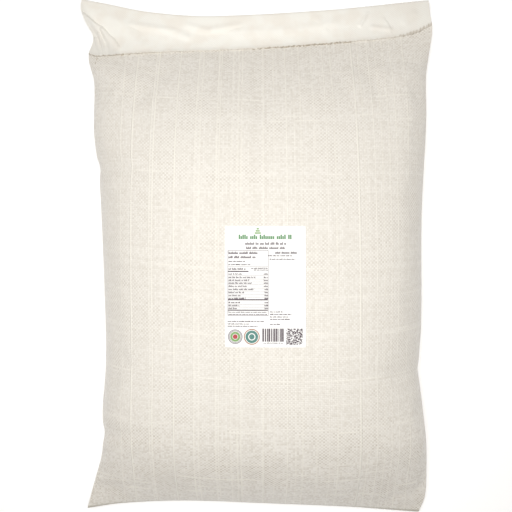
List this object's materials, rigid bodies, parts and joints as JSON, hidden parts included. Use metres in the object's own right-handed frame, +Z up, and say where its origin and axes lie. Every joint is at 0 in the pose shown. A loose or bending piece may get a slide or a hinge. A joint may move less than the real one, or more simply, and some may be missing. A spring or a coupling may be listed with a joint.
{
  "type": "filled woven sack of rice",
  "caption": "Shut pillow-shaped sack of rice in off-white woven cloth, lying on its back, with its mouth turned over in a band and a paper label on its front.",
  "frame": {"origin": "on the floor under the middle of the sack's whole box, as it lies", "axes": "+X to the sack's right as seen from above, +Y to its head, where the mouth is turned over, +Z up out of its labelled front"},
  "size_m": [0.5114, 0.7496, 0.1522],
  "materials": {
    "woven_cloth": "matte plain weave of flat off-white tapes with slubs",
    "smooth_cloth": "matte smooth cream cloth, softly creased",
    "label_paper": "smooth white paper with dark print"
  },
  "bodies": {
    "root": {"sack_body": "woven_cloth", "top_band": "smooth_cloth", "label": "label_paper"}
  },
  "joints": []
}
